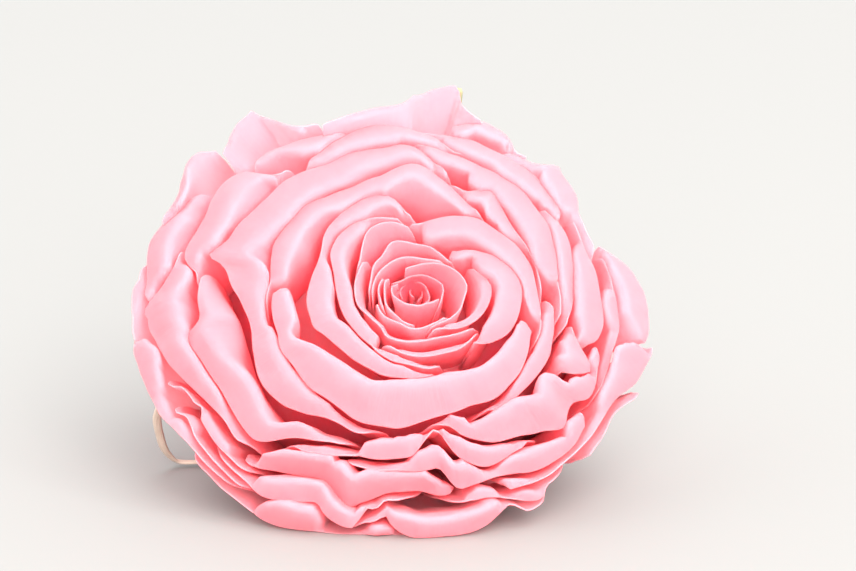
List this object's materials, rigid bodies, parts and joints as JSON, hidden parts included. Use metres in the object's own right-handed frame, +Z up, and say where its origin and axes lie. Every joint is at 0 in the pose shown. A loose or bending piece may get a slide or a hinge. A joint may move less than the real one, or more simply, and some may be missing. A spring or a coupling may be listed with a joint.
{
  "type": "preserved rose head",
  "caption": "Open preserved rose head with layered waved petals, a calyx with sepals and a short stub of stem, lying with its face up and forward.",
  "frame": {"origin": "centre of the bottom of the bounding box, on the surface that the head lies on", "axes": "+Z up; -Y the side that the flower's face looks toward; +X to the right, seen from the front"},
  "size_m": [0.0768, 0.0582, 0.0528],
  "materials": {
    "petal": "velvet",
    "calyx": "matte",
    "stem": "matte"
  },
  "bodies": {
    "root": {"bloom": "petal", "calyx": "calyx", "stem_stub": "stem"}
  },
  "joints": []
}
